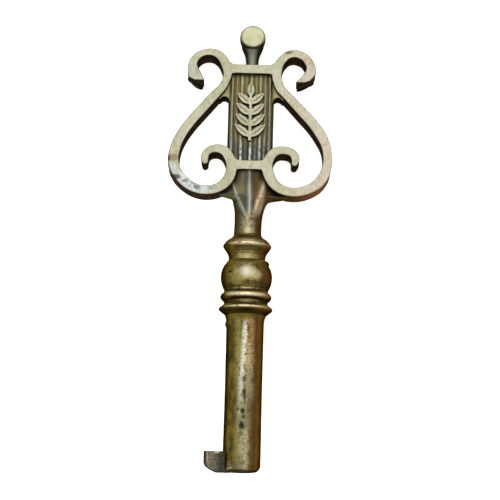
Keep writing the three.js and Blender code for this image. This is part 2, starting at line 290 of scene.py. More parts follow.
def finish_piece(name, node, mesh, marks=None, crease=40.0):
    """A drawn mesh becomes a piece: marked, laid in the frame, and standing for its CAD node."""
    for mark, values in (marks or {}).items():
        layer = mesh.attributes.new(mark, "FLOAT", "POINT")
        layer.data.foreach_set("value", np.asarray(values, float))
    mesh.vertices.foreach_set("co", laid(points_of(mesh)).ravel())
    mesh.update()
    mesh.name = name
    piece = bpy.data.objects.new(name, mesh)
    bpy.context.scene.collection.objects.link(piece)
    mesh.shade_smooth()
    mesh.set_sharp_from_angle(angle=math.radians(crease))
    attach(piece, "root")
    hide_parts(node)
    print(f"{name}: {len(mesh.vertices)} points, {len(mesh.polygons)} faces")
    return piece


# %% [markdown]
# ## The strap of the bow
# The arms and crossbars are flat straps, sawn or cast and then filed: flat on
# the front and back, square-sided, with edges that a century of thumbs has
# rounded. One function sweeps such a section along a path. Each column of the
# section is four numbers: its share of the half-width, how far the edge's
# rounding pulls it in, how high it lies, and how much of the rounding it keeps.

# %% Sweep a strap
def strap_columns():
    """The section, from the middle of the front face round one side to the middle of the back."""
    shares = (0.0, 0.3, 0.6, 0.85)
    bend = np.linspace(0.0, math.pi / 2, 5)
    front = [(share, 1.0, 1.0, 1.0) for share in shares]
    front += [(1.0, 1 - math.sin(a), 1.0, math.cos(a)) for a in bend]
    wall = [(1.0, 0.0, rise_share, 0.0) for rise_share in (0.92, 0.5, 0.0, -0.5, -0.92)]
    backs = [(share, pull, -level_share, -cap) for share, pull, level_share, cap in reversed(front)]
    plus = front + wall + backs
    minus = [(-share, pull, level_share, cap) for share, pull, level_share, cap in reversed(plus[1:-1])]
    return np.array(plus + minus)


STRAP_COLUMNS = strap_columns()
END_TURNS = np.linspace(0.0, math.pi / 2, 10)
CUT_FADE = 0.6         # a scroll's cut end keeps its own shape for about this far along the arm, mm
CUT_STRAIGHTENS = 2.5  # and its sections stand square to the arm again after this far, mm


def strap(path, half, edge, worn=None, round_end=False, level_start=0):
    """Points and faces of a strap along rows of x, y, width, half mm thick each side of z = 0.
    level_start is the side, -1 or 1, on which a scroll's level cut runs on downwards at the back."""
    share, pull, height_share, cap = STRAP_COLUMNS.T
    step = np.gradient(path[:, :2], axis=0)
    heading = step / np.linalg.norm(step, axis=1)[:, None]
    normal = np.column_stack([-heading[:, 1], heading[:, 0]])
    gone = np.concatenate([[0.0], np.cumsum(np.linalg.norm(np.diff(path[:, :2], axis=0), axis=1))])
    lean = -normal[0, 1] / heading[0, 1] if level_start else 0.0
    rings = []

    def ring(i, ahead=0.0, shrink=0.0, turn=0.0):
        rounding = np.full(len(share), edge)
        if worn is not None:
            rounding = edge + worn(path[i], share)
        reach = path[i, 2] / 2 - pull * rounding - shrink
        across = share * reach * math.cos(turn)
        slant = lean * max(0.0, 1 - gone[i] / CUT_STRAIGHTENS) ** 2
        forward = ahead + slant * across + (reach * math.sin(turn) if turn else 0.0)
        if level_start:
            near_cut = math.exp(-gone[i] / CUT_FADE)
            towards_back = (1 - height_share) / 2 * near_cut
            inwards = level_start * share
            rounded = 2.5 * np.clip(-inwards - 0.55, 0, 1) ** 2 * near_cut
            bow_out = 1 - np.sqrt(1 - ((inwards - 0.35) / 1.36) ** 2)
            bow_out = bow_out + 1.4 * np.clip(inwards - 0.6, 0, 1) ** 2
            forward = forward + rounded - towards_back * (0.5 - 1.8 * bow_out)
        z = (height_share * (half - rounding) + cap * rounding) * (half - shrink) / half
        xy = path[i, :2] + across[:, None] * normal[i] + forward[:, None] * heading[i]
        rings.append(np.column_stack([xy, z]))

    bend = np.linspace(0.0, math.pi / 2, 5)
    for a in bend:
        ring(0, ahead=edge * (1 - math.cos(a)), shrink=edge * (1 - math.sin(a)))
    last = len(path) - 1
    for i in range(1, last + 1):
        if gone[i] > edge * 1.2 and (round_end or gone[last] - gone[i] > edge * 1.2):
            ring(i)
    if round_end:
        for a in END_TURNS[1:]:
            ring(last, turn=a)
    else:
        for a in reversed(bend):
            ring(last, ahead=-edge * (1 - math.cos(a)), shrink=edge * (1 - math.sin(a)))
    around = len(share)
    faces = ring_faces(len(rings), around)
    faces.append(tuple(range(around)))
    if not round_end:
        faces.append(tuple(range((len(rings) - 1) * around, len(rings) * around)))
    return np.vstack(rings), faces


print(len(STRAP_COLUMNS), "points round a strap's section")

# %% [markdown]
# ## The two lyre arms
# Each arm is one strap: a scroll at the top, a waist, the wide swing of the
# lyre, and a volute curled back up inside the lobe. The two are not mirror
# images, since the pattern was filed by hand. The stations run from the cut
# end of the scroll to the tip of the volute: x, y and the strap's width.

# %% Stations of the arms
BOW_HALF = 2.25        # half the bow's thickness, mm
FILED_EDGE = 0.15      # rounding of a filed edge, mm
SCROLL_CUT = 29.2      # the top scrolls end in a level cut
LEFT_ARM = [
    [8.95, 28.5, 2.0], [9.6, 29.8, 2.15], [10.15, 31.1, 1.94], [10.2, 32.25, 1.5],
    [9.68, 33.3, 1.35], [8.68, 34.05, 1.2], [7.25, 34.34, 1.26], [6.05, 34.03, 1.42],
    [5.15, 33.25, 1.55], [4.55, 32.2, 1.65], [4.2, 31.1, 1.6], [4.2, 30.1, 1.45],
    [4.48, 29.1, 1.35], [5.03, 28.0, 1.35], [6.47, 26.4, 1.6], [8.45, 24.0, 1.65],
    [10.1, 22.0, 1.7], [11.45, 20.0, 1.7], [12.43, 18.0, 1.75], [12.95, 16.0, 1.85],
    [12.9, 14.0, 1.9], [12.2, 12.5, 1.85], [11.05, 11.25, 1.75], [9.4, 10.2, 1.6],
    [7.4, 9.78, 1.56], [5.3, 10.2, 1.6], [3.88, 11.3, 1.75], [3.15, 12.9, 1.8],
    [3.1, 14.4, 1.75], [3.55, 15.7, 1.75], [4.25, 16.65, 1.7], [5.42, 17.1, 1.5],
    [6.75, 16.85, 1.3], [7.5, 16.1, 1.3], [7.65, 15.4, 1.3], [7.6, 14.85, 1.1],
]
RIGHT_ARM = [
    [7.6, 28.3, 1.3], [9.3, 29.9, 1.55], [10.15, 31.2, 1.75], [10.1, 32.2, 1.6],
    [9.67, 33.05, 1.52], [8.95, 33.85, 1.45], [7.45, 34.4, 1.43], [6.15, 34.12, 1.42],
    [5.35, 33.45, 1.48], [4.7, 32.5, 1.6], [4.32, 31.2, 1.7], [4.3, 30.2, 1.68],
    [4.5, 29.2, 1.58], [4.95, 28.1, 1.55], [6.45, 26.45, 1.52], [8.75, 24.0, 1.7],
    [10.6, 22.0, 1.76], [12.03, 20.0, 1.8], [12.95, 18.0, 1.62], [13.26, 16.0, 1.5],
    [13.2, 14.5, 1.62], [12.8, 13.0, 1.75], [11.8, 11.5, 1.75], [10.5, 10.55, 1.65],
    [8.9, 9.92, 1.56], [7.3, 9.78, 1.56], [5.75, 10.1, 1.6], [4.5, 10.85, 1.7],
    [3.65, 11.95, 1.8], [3.14, 13.3, 1.85], [3.08, 14.5, 1.75], [3.38, 15.6, 1.7],
    [4.0, 16.5, 1.6], [4.85, 16.98, 1.45], [6.1, 17.03, 1.4], [7.1, 16.7, 1.38],
    [7.7, 16.0, 1.42], [7.8, 15.3, 1.38], [7.65, 14.85, 1.1],
]


def arm_path(stations, side, count=440):
    """The arm's centre line from the level cut of its scroll, rows of x, y, width."""
    curve = through([(side * x, y, width) for x, y, width in stations])
    first = next(i for i, row in enumerate(curve) if row[1] > SCROLL_CUT)
    share = (SCROLL_CUT - curve[first - 1, 1]) / (curve[first, 1] - curve[first - 1, 1])
    start = curve[first - 1] + share * (curve[first] - curve[first - 1])
    return evenly(np.vstack([start, curve[first:]]), count)


def seam_free(row, share):
    """Less rounding where a crossbar runs in, so that no groove is left on the faces."""
    side, across, y = math.copysign(1, row[0]), abs(row[0]), row[1]
    at_yoke = across < 6 and 30.5 < y < 32.4
    at_tail = across < 4.5 and 13.4 < y < 15.3
    facing_bar = share * side * (float(at_tail) - float(at_yoke)) > 0
    return np.where(facing_bar, 0.01 - FILED_EDGE, 0.0)


def left_lobe_wear(row, share):
    """Extra rounding where the left lobe's outer lower edge has been rubbed down."""
    at = math.exp(-((row[0] + 12.3) / 1.9) ** 2 - ((row[1] - 12.6) / 2.6) ** 2)
    return seam_free(row, share) + np.where(share < 0, 0.3 * at, 0.0)


FILE_WAVE, FILE_CHATTER = 0.018, 0.008     # depth of a file's long waves and of its chatter, mm


def hand_filed(points, half, seed):
    """Small waves that a file leaves, never proud of the drawn faces."""
    waves = 0.5 + 0.5 * unevenness(points, 3.2, seed)
    fine = 0.5 + 0.5 * unevenness(points, 0.9, seed + 4)
    sunk = FILE_WAVE * waves + FILE_CHATTER * fine
    pulled = points.copy()
    pulled[:, 2] -= np.sign(points[:, 2]) * sunk * (np.abs(points[:, 2]) > 0.5 * half)
    return pulled


# %% Make the arms
bow_pieces = []
for side, stations, name, wear in (
    (-1, LEFT_ARM, "left_lyre_arm", left_lobe_wear),
    (1, RIGHT_ARM, "right_lyre_arm", seam_free),
):
    points, faces = strap(arm_path(stations, side), BOW_HALF, FILED_EDGE, wear,
                          round_end=True, level_start=side)
    mesh = tidy_mesh(name, hand_filed(points, BOW_HALF, 3.0 * side), faces)
    bow_pieces.append(finish_piece(name + "_strap", name, mesh))

# %% [markdown]
# ## The crossbars
# The yoke joins the arms above the strings and the tail bar joins them below.
# On the casting they run into the arms without a seam, so each bar widens into
# its corners, its ends sink into the arms, and its faces lie a hundredth of a
# millimetre under theirs.

# %% Make the crossbars
BAR_SUNK = 0.012
for name, low, high, half_length in (("yoke_bar", 30.6, 32.2, 4.2), ("tail_bar", 13.56, 15.15, 3.0)):
    middle, width = (low + high) / 2, high - low
    corner = [(half_length - back_by, wider)
              for back_by, wider in ((0.0, 1.3), (0.5, 0.75), (0.95, 0.15), (1.5, 0.0))]
    line = [(-x, middle, width + wider) for x, wider in corner] + [(0.0, middle, width)]
    line += [(x, middle, width + wider) for x, wider in reversed(corner)]
    points, faces = strap(evenly(through(line), 120), BOW_HALF - BAR_SUNK, 0.8 * FILED_EDGE)
    mesh = tidy_mesh(name, hand_filed(points, BOW_HALF, 7.0), faces)
    bow_pieces.append(finish_piece(name + "_casting", name, mesh))


# %% [markdown]
# ## Casting several shapes into one
# A casting has no sharp inner corners, because sand can't hold them. Rough
# shapes that overlap are remeshed into one skin on a fine grid of cubes, and a
# few smoothing passes then rub the inner corners round, as the sand did. The
# grid is a few hundredths of a millimetre, so the shapes stay crisp.

# %% Cast shapes together
def cast_together(name, shapes, grid, rubs):
    """One skin round overlapping shapes, each given as points and faces in mm."""
    points, faces = [], []
    for shape_points, shape_faces in shapes:
        start = len(points)
        points += [tuple(p) for p in shape_points]
        faces += [tuple(start + i for i in face) for face in shape_faces]
    rough = bpy.data.objects.new(name + "_rough", bpy.data.meshes.new(name + "_rough"))
    rough.data.from_pydata(points, [], faces)
    bpy.context.scene.collection.objects.link(rough)
    skin = rough.modifiers.new("skin", "REMESH")
    skin.mode = "VOXEL"
    skin.voxel_size = grid
    rub = rough.modifiers.new("rub", "SMOOTH")
    rub.factor = 0.5
    rub.iterations = rubs
    seen = rough.evaluated_get(bpy.context.evaluated_depsgraph_get())
    mesh = bpy.data.meshes.new_from_object(seen)
    mesh.materials.clear()
    old = rough.data
    bpy.data.objects.remove(rough)
    bpy.data.meshes.remove(old)
    return mesh


def slab(outline, low, high):
    """An outline in x and y, made solid from low z to high z."""
    count = len(outline)
    points = [(x, y, z) for z in (low, high) for x, y in outline]
    faces = [tuple(reversed(range(count))), tuple(range(count, 2 * count))]
    faces += [(i, (i + 1) % count, count + (i + 1) % count, count + i) for i in range(count)]
    return points, faces

# %% [markdown]
# ## The string column
# Where a lyre has its strings, the key has a thick reeded panel, thinner than
# the bow. Five strong reeds stand a little above the four between them. A thin
# web ties its head to both arms, and rounds off the top of each open loop.

# %% Shape the string column
COLUMN_HALF = 3.92
COLUMN_CROWN = 1.15
STRONG_REEDS = {-3.3: 0.32, -1.62: 0.27, 0.02: 0.27, 1.62: 0.27, 3.25: 0.34}
WEAK_REEDS = {-2.46: 0.2, -0.82: 0.18, 0.84: 0.2, 2.42: 0.22}
STRONG_WIDTH, WEAK_WIDTH = 0.42, 0.37
WEB_BACK, WEB_FRONT = -2.15, 1.12


def reed_relief(x):
    """How far the reeds stand above the panel's crown at each x."""
    relief = np.zeros_like(x)
    for reeds, half_width in ((STRONG_REEDS, STRONG_WIDTH), (WEAK_REEDS, WEAK_WIDTH)):
        for middle, reed_height in reeds.items():
            off = np.clip(np.abs(x - middle) / half_width, 0.0, 1.0)
            relief = np.maximum(relief, reed_height * np.sqrt(1 - off**2))
    return relief


def column_face(x):
    return COLUMN_CROWN - 0.25 * (x / COLUMN_HALF) ** 2 + reed_relief(x)


def reeded_bar(low, high):
    """The reeded section, front and back alike, drawn from low y to high y."""
    x = np.linspace(-COLUMN_HALF, COLUMN_HALF, 190)
    z = column_face(x) * np.sqrt(np.clip(1 - np.clip((np.abs(x) - 3.7) / 0.24, 0, 1) ** 2, 0.02, 1))
    section = np.vstack([np.column_stack([x, z]), np.column_stack([x[::-1], -z[::-1]])])
    rings = [np.column_stack([section[:, 0], np.full(len(section), y), section[:, 1]])
             for y in np.linspace(low, high, 60)]
    faces = ring_faces(len(rings), len(section))
    count = len(section)
    faces += [tuple(range(count)), tuple(reversed(range((len(rings) - 1) * count, len(rings) * count)))]
    return np.vstack(rings), faces


def web(side):
    """Half of the head web. Its lower edge is a small arch, as deep as the arms behind."""
    arch = [(4.6 + 0.8 * math.cos(a), 25.9 + 0.8 * math.sin(a)) for a in np.linspace(math.pi, 0.35, 18)]
    rest = [(6.2, 26.5), (6.0, 27.3), (5.2, 28.0), (4.6, 29.1), (4.3, 30.9), (3.0, 30.9), (3.0, 24.8)]
    outline = [(side * x, y) for x, y in arch + rest]
    return slab(outline if side > 0 else outline[::-1], WEB_BACK, WEB_FRONT)


# %% Make the string column
column_mesh = cast_together("string_column", [reeded_bar(14.9, 30.8), web(-1), web(1)],
                            grid=0.06, rubs=3)
column_points = points_of(column_mesh)
crest = np.clip(reed_relief(column_points[:, 0]) / 0.34, 0, 1) * (np.abs(column_points[:, 0]) < 3.85)
column_points[:, 2] += 0.03 * unevenness(column_points, 1.1, 2.0)
column_mesh.vertices.foreach_set("co", column_points.ravel())
string_panel = finish_piece("reeded_string_panel", "string_column", column_mesh,
                            {"crest": crest}, crease=70)

# %% [markdown]
# ## The leaf sprig
# A plain sprig of laurel stands on the strings with its flat tops level with
# the bow's front face. It is a generic ornament. Each leaf is a pointed oval
# with a groove for its midrib, and the groove is pressed in after the casting.

# %% Shape the sprig
SPRIG_X, SPRIG_LOW, SPRIG_TOP = -0.1, 18.6, 29.1
LEAF_PAIRS, PAIR_STEP = 4, 1.95
LEAF_LIFT = math.radians(40.0)
LEAF_WIDTH = 1.3
SPRIG_FOOT = 0.8       # the sprig's lowest z, which is sunk in the panel
MIDRIB_HALF, MIDRIB_DEEP = 0.13, 0.1


def leaf_outline(length, width, steps=16):
    """A pointed oval from its stalk at 0, 0 along +x, fullest before the middle."""
    along = np.linspace(0, 1, steps)
    half = width * 0.5 * np.sin(math.pi * along**0.85) ** 0.8
    upper_edge = list(zip(along * length, half))
    lower_edge = list(zip(along[::-1] * length, -half[::-1]))
    return upper_edge + lower_edge[1:-1]


def leaves():
    """Each leaf as x, y, length, width and the angle it points."""
    rows = []
    for i in range(LEAF_PAIRS):
        y = SPRIG_LOW + 0.7 + PAIR_STEP * i
        for angle in (LEAF_LIFT, math.pi - LEAF_LIFT):
            rows.append((SPRIG_X, y, 3.5 - 0.15 * i, LEAF_WIDTH, angle))
    start = SPRIG_LOW + PAIR_STEP * LEAF_PAIRS
    rows.append((SPRIG_X, start, SPRIG_TOP - start, LEAF_WIDTH, math.pi / 2))
    return rows


# %% Make the sprig
sprig_shapes = [slab([(SPRIG_X - 0.28, SPRIG_LOW), (SPRIG_X + 0.28, SPRIG_LOW),
                      (SPRIG_X + 0.25, 27.0), (SPRIG_X - 0.25, 27.0)], SPRIG_FOOT, BOW_HALF)]
for x, y, length, width, angle in leaves():
    c, s = math.cos(angle), math.sin(angle)
    turned_leaf = [(x + u * c - v * s, y + u * s + v * c) for u, v in leaf_outline(length, width)]
    sprig_shapes.append(slab(turned_leaf, SPRIG_FOOT, BOW_HALF))
sprig_mesh = cast_together("leaf_sprig", sprig_shapes, grid=0.045, rubs=2)
sprig_points = points_of(sprig_mesh)
groove = np.zeros(len(sprig_points))
for x, y, length, width, angle in leaves():
    off = sprig_points[:, :2] - (x, y)
    u = off[:, 0] * math.cos(angle) + off[:, 1] * math.sin(angle)
    v = -off[:, 0] * math.sin(angle) + off[:, 1] * math.cos(angle)
    along_rib = ease(u, 0.5, 0.9) * (1 - ease(u, length * 0.8, length * 0.95))
    cut = np.clip(1 - np.abs(v) / MIDRIB_HALF, 0, 1) * along_rib
    groove = np.maximum(groove, np.where(np.abs(v) < 0.6, cut, 0))
sprig_points[:, 2] -= np.where(sprig_points[:, 2] > 2.0, MIDRIB_DEEP * groove, 0)
sprig_points[:, 2] = np.minimum(sprig_points[:, 2], BOW_HALF)
sprig_mesh.vertices.foreach_set("co", sprig_points.ravel())
bow_pieces.append(finish_piece("laurel_sprig", "leaf_sprig", sprig_mesh, crease=70))

# %% [markdown]
# ## The peg and its button
# The finial is a short club-shaped peg that carries a button. The button's flat
# front is polished with the rest of the bow, and its body tapers away behind.

# %% Make the finial
KNOB_Y, KNOB_SQUASH = 37.3, 0.93


def lathe_about_z(profile, centre_y, squash, around=96):
    """Rows of z, radius turned about the z direction."""
    angles = np.linspace(0, 2 * math.pi, around, endpoint=False)
    rings = [np.column_stack([r * np.cos(angles), centre_y + squash * r * np.sin(angles), np.full(around, z)])
             for z, r in profile]
    return np.vstack(rings), ring_faces(len(profile), around, capped=True)


def lathe_about_y(profile, front_limit, back_limit, around=96):
    """Rows of y, radius turned about the y direction, cut flat at the front and back."""
    angles = np.linspace(0, 2 * math.pi, around, endpoint=False)
    rings = []
    for y, r in profile:
        z = np.clip(r * np.cos(angles), back_limit, front_limit)
        rings.append(np.column_stack([r * np.sin(angles), np.full(around, y), z]))
    return np.vstack(rings), ring_faces(len(profile), around, capped=True)


button = [(-1.7, 1.75), (-1.6, 1.88), (-0.9, 2.1), (-0.2, 2.22), (0.6, 2.24), (1.3, 2.24), (1.75, 2.2),
          (2.05, 2.12), (2.2, 1.98), (2.25, 1.86)]
club = through([(31.9, 1.1), (32.6, 1.08), (33.4, 1.12), (34.2, 1.24), (34.9, 1.5), (35.6, 1.8),
                (36.4, 1.95), (37.3, 1.6)], 6)
finial_mesh = cast_together("finial_peg", [lathe_about_z(button, KNOB_Y, KNOB_SQUASH),
                                           lathe_about_y(club, front_limit=2.0, back_limit=-1.65)],
                            grid=0.06, rubs=4)
finial = finish_piece("peg_and_button", "finial_peg", finial_mesh, crease=70)

# %% [markdown]
# ## The neck
# Below the tail bar the bow narrows into the stem. Its section goes from a flat
# oval to a full round. Its top spreads in a fillet under both lobes, farther on
# the right, so each row has its own shift. Three soft ribs run down it: one in
# the middle, and one from each lobe. They were in the pattern, so the skin is
# raised along them and no edge is drawn. The left rib is thin, the right broad.

# %% Make the neck
NECK_ROWS = [  # y, half-width, half-depth, shift to the right
    (2.2, 2.38, 2.36, 0.0), (3.2, 2.32, 2.32, 0.0), (5.2, 2.34, 2.3, 0.05), (6.7, 2.5, 2.15, 0.15),
    (7.9, 2.85, 1.97, 0.25), (8.3, 3.05, 1.9, 0.4), (8.6, 3.6, 1.88, 0.8), (8.85, 4.6, 1.86, 1.45),
    (9.1, 5.5, 1.84, 1.35), (9.4, 5.7, 1.8, 0.6), (10.3, 4.85, 1.7, 0.0), (11.2, 4.1, 1.6, 0.0),
    (12.2, 3.4, 1.52, 0.0), (13.8, 3.1, 1.42, 0.0),
]
RIBS = [  # its line from the stem to the bow as y, x; then its half-width and height
    ([(4.6, 0.1), (6.8, 0.15), (10.0, 0.1), (14.0, 0.0)], 0.52, 0.26),
    ([(4.6, -0.3), (5.8, -0.7), (9.9, -2.4), (12.4, -3.3)], 0.34, 0.2),
    ([(4.0, 1.0), (5.2, 1.25), (9.9, 2.3), (12.4, 3.2)], 0.68, 0.28),
]


def rib_marks(points):
    """Each rib's strength at each point of the neck, from 0 to 1."""
    x, y, z = points.T
    begins = ease(y, 4.2, 7.2)
    return [begins * np.exp(-((x - np.interp(y, *zip(*line))) / half_width) ** 2)
            for line, half_width, rib_height in RIBS]


NECK_AROUND = 240
neck_rows = through(NECK_ROWS, 12)
neck_angles = np.linspace(0, 2 * math.pi, NECK_AROUND, endpoint=False)
neck_skin = np.vstack([
    np.column_stack([half * np.sin(neck_angles) + shift, np.full(NECK_AROUND, y),
                     depth * np.cos(neck_angles)])
    for y, half, depth, shift in neck_rows])
ribs_here = rib_marks(neck_skin)
towards = neck_skin[:, 2] / np.max(np.abs(neck_skin[:, 2]))
for strength, (line, half_width, rib_height) in zip(ribs_here, RIBS):
    neck_skin[:, 2] += rib_height * strength * np.clip(2.5 * towards, -1, 1)
neck_skin[:, 2] += 0.04 * unevenness(neck_skin, 1.4, 3.0) * towards
neck_mesh = tidy_mesh("neck", neck_skin, ring_faces(len(neck_rows), NECK_AROUND, capped=True))
ridge = np.max(rib_marks(points_of(neck_mesh)), axis=0)
neck = finish_piece("ribbed_neck", "neck", neck_mesh, {"crest": ridge}, crease=70)

# %% [markdown]
# ## The turned stem
# Six turned pieces stack up between the neck and the barrel: a sharp-edged
# collar, a cove, a bulb, and two more collars with a narrow ring between them.
# A lathe leaves them round, but wear and a slip of the tool don't, so each
# profile is turned with a little unevenness and a few dents. Each piece's ends
# dip under its neighbours, which closes the joint as solder does.

# %% Turn a ring
BORE = 1.6     # radius of the hole through every turned ring and the barrel, mm


def turned_ring(profile, around=200, change=None, seed=0.0, lump=0.022):
    """A bored ring about the key's length from rows of y, radius, lowest first."""
    rows = np.array(profile, float)
    angles = np.linspace(0, 2 * math.pi, around, endpoint=False)
    outer = np.vstack([np.column_stack([r * np.sin(angles), np.full(around, y), r * np.cos(angles)])
                       for y, r in rows])
    swell = lump * (unevenness(outer, 2.3, seed) - 0.6)
    if change is not None:
        swell = swell + change(outer)
    outward = outer[:, [0, 2]] / np.maximum(np.linalg.norm(outer[:, [0, 2]], axis=1), 1e-6)[:, None]
    outer[:, 0] += outward[:, 0] * swell
    outer[:, 2] += outward[:, 1] * swell
    bores = [np.column_stack([BORE * np.sin(angles), np.full(around, y), BORE * np.cos(angles)])
             for y in (rows[-1, 0], rows[0, 0])]
    return np.vstack([outer] + bores), ring_faces(len(rows) + 2, around, round_again=True)


def hollows(points, profile, reach=0.55):
    """How deep each point lies below the profile's rims near it, from 0 to 1."""
    rows = np.array(profile, float)
    radius = np.hypot(points[:, 0], points[:, 2])
    rim = np.array([rows[np.abs(rows[:, 0] - y) <= reach, 1].max() for y in rows[:, 0]])
    return np.clip((np.interp(points[:, 1], rows[:, 0], rim) - radius) / 0.5, 0, 1)


# %% Profiles of the stem, from the neck down
STEM = {
    "upper_collar": [(-0.85, 3.2), (-0.75, 3.34), (-0.3, 3.62), (0.1, 3.92), (0.38, 4.09), (0.52, 4.12),
                     (0.68, 4.06), (1.0, 3.83), (1.3, 3.62), (1.6, 3.27), (1.85, 2.88), (2.1, 2.58),
                     (2.4, 2.40), (2.55, 2.30)],
    "cove_sleeve": [(-2.25, 3.0), (-2.1, 3.1), (-1.9, 3.12), (-1.5, 3.12), (-1.15, 3.18), (-0.85, 3.3),
                    (-0.6, 3.3)],
    "baluster_bulb": [(-7.5, 3.66), (-7.35, 3.74), (-7.05, 3.76), (-6.75, 3.9), (-6.4, 4.05), (-5.9, 4.22),
                      (-4.85, 4.36), (-3.8, 4.22), (-2.9, 3.85), (-2.3, 3.42), (-2.08, 3.24), (-1.98, 2.9)],
    "middle_collar": [(-9.1, 3.6), (-8.95, 3.84), (-8.65, 4.16), (-8.36, 4.33), (-8.1, 4.33), (-7.8, 4.14),
                      (-7.5, 3.8), (-7.32, 3.58)],
    "collar_spacer": [(-9.8, 3.66), (-9.6, 3.72), (-9.3, 3.7), (-9.05, 3.72), (-8.85, 3.7)],
    "lower_collar": [(-11.62, 3.2), (-11.45, 3.40), (-11.1, 3.72), (-10.75, 4.18), (-10.45, 4.52),
                     (-10.28, 4.57), (-10.1, 4.44), (-9.85, 4.1), (-9.66, 3.9), (-9.55, 3.6)],
}
whole_stem = np.vstack([through(STEM[name], 10) for name in
                        ("lower_collar", "collar_spacer", "middle_collar", "baluster_bulb", "cove_sleeve",
                         "upper_collar")])
whole_stem = whole_stem[np.argsort(whole_stem[:, 0])]


TOOL_SLIP = 0.34       # how far the bulb stands out where the tool slipped, mm


def bulb_dents(points):
    """A step at the bulb's top right, where the tool slipped, and a few small dents."""
    x, y, z = points.T
    side_share = x / np.hypot(x, z)
    step = TOOL_SLIP * ease(side_share, 0.45, 0.9) * ease(y, -2.85, -2.35) * (1 - ease(y, -2.2, -2.1))
    step = step - 0.08 * ease(side_share, 0.6, 0.9) * np.exp(-((y + 2.95) / 0.2) ** 2)
    nick = -0.16 * np.exp(-((x + 2.75) / 0.4) ** 2 - ((y + 4.4) / 0.13) ** 2) * (z > 0)
    dent = -0.06 * np.exp(-((x - 1.5) / 0.6) ** 2 - ((y + 6.2) / 0.5) ** 2) * (z > 0)
    return step + nick + dent


NOSE_WEAR_AND_HIGHLIGHT = {  # middle of the band of wear and painted highlight above the rim's widest line, and its half-height, mm
    "upper_collar": (0.1, 0.48), "middle_collar": (-0.02, 0.36), "lower_collar": (0.02, 0.4),
}
stem_pieces = []
for seed, (name, profile) in enumerate(STEM.items()):
    rows = through(profile, 10)
    change = bulb_dents if name == "baluster_bulb" else None
    points, faces = turned_ring(rows, change=change, seed=5.0 + seed)
    mesh = tidy_mesh(name, points, faces)
    shade_share = 0.2 if name in ("upper_collar", "cove_sleeve") else 1.0     # open flares get little painted shade in their recesses
    marks = {"recess_shade": shade_share * hollows(points_of(mesh), whole_stem), "rim": np.zeros(len(mesh.vertices))}
    # Each collar's rim mark is a band of wear and painted highlight on its nose.
    if name in NOSE_WEAR_AND_HIGHLIGHT:
        above, half_height = NOSE_WEAR_AND_HIGHLIGHT[name]
        nose_y = rows[np.argmax(rows[:, 1]), 0] + above
        marks["rim"] = np.exp(-((points_of(mesh)[:, 1] - nose_y) / half_height) ** 2)
    stem_pieces.append(finish_piece(name + "_turning", name, mesh, marks, crease=50))

# %% [markdown]
# ## The barrel
# A barrel key's shank is a tube, and its bore goes over a pin in the lock. The
# tube was rolled from sheet and filed, then carried in pockets for years, so
# its mouth is rounded unevenly and its front is pitted where acid sat on it.

# %% Make the barrel
BARREL_RADIUS, BARREL_TIP = 3.16, -37.45
PITS = (               # x, y, size, depth
    (0.1, -22.4, 0.3, 0.07), (0.15, -24.6, 0.26, 0.09), (0.3, -25.6, 0.2, 0.07), (-0.1, -27.65, 0.36, 0.12),
    (-0.9, -27.4, 0.2, 0.06), (0.1, -28.6, 0.24, 0.08), (-0.2, -30.1, 0.4, 0.13), (0.1, -35.4, 0.3, 0.05),
)


def barrel_wear(points):
    """A mouth worn rounder on the side away from the bit, and pits along the front."""
    x, y, z = points.T
    radius = np.hypot(x, z)
    away = np.clip(x / radius, 0, 1)
    mouth = -0.42 * away**1.5 * np.clip(1 - (y - BARREL_TIP) / 1.1, 0, 1) ** 2
    waist = -0.035 * np.sin(math.pi * np.clip((y + 37.4) / 25.5, 0, 1)) ** 2
    pits = np.zeros(len(points))
    for pit_x, pit_y, size, deep in PITS:
        off = ((x - pit_x) / size) ** 2 + ((y - pit_y) / (1.4 * size)) ** 2
        pits -= np.where(z > 0, deep * np.exp(-off), 0)
    burr = 0.3 * np.exp(-((y + 12.9) / 0.32) ** 2) * ease(-x / radius, 0.8, 1.0)
    return mouth + waist + pits + burr


barrel_rows = [(BARREL_TIP, 2.2), (BARREL_TIP, 2.66), (-37.42, 2.84), (-37.3, 3.0), (-37.1, 3.09),
               (-36.8, 3.14)]
barrel_rows += [(y, BARREL_RADIUS) for y in np.arange(-36.6, -13.2, 0.11)]
barrel_rows += [(-13.1, 3.16), (-12.7, 3.17), (-12.3, 3.2), (-11.95, 3.27), (-11.7, 3.36), (-11.45, 3.42),
                (-11.3, 3.3)]
points, faces = turned_ring(barrel_rows, around=220, change=barrel_wear, seed=21.0, lump=0.016)
barrel = finish_piece("bored_barrel", "barrel", tidy_mesh("barrel", points, faces), crease=50)

# %% [markdown]
# ## The bit
# The bit is a small plate brazed into a slot at the barrel's tip, with one
# corner cut off to clear the lock's case. Filing left its edges soft, so a
# plain plate is remeshed and rubbed until the edges round over.

# %% Make the bit
BIT_LEFT, BIT_LOW, BIT_HIGH, BIT_HALF = -6.28, -37.56, -34.2, 1.5
bit_outline = [(-1.9, BIT_LOW), (-1.9, BIT_HIGH), (BIT_LEFT, BIT_HIGH), (BIT_LEFT, -36.2), (-6.1, -36.55),
               (-5.4, -37.05), (-4.45, -37.5), (-4.2, BIT_LOW)]
bit_mesh = cast_together("bit", [slab(bit_outline[::-1], -BIT_HALF, BIT_HALF)], grid=0.06, rubs=9)
bit_points = points_of(bit_mesh)
outward = np.sign(bit_points - bit_points.mean(0))
bit_points += 0.012 * outward * (unevenness(bit_points, 0.9, 3.0)[:, None] - 1)
bit_mesh.vertices.foreach_set("co", bit_points.ravel())
bit = finish_piece("bit_plate", "bit", bit_mesh, crease=70)


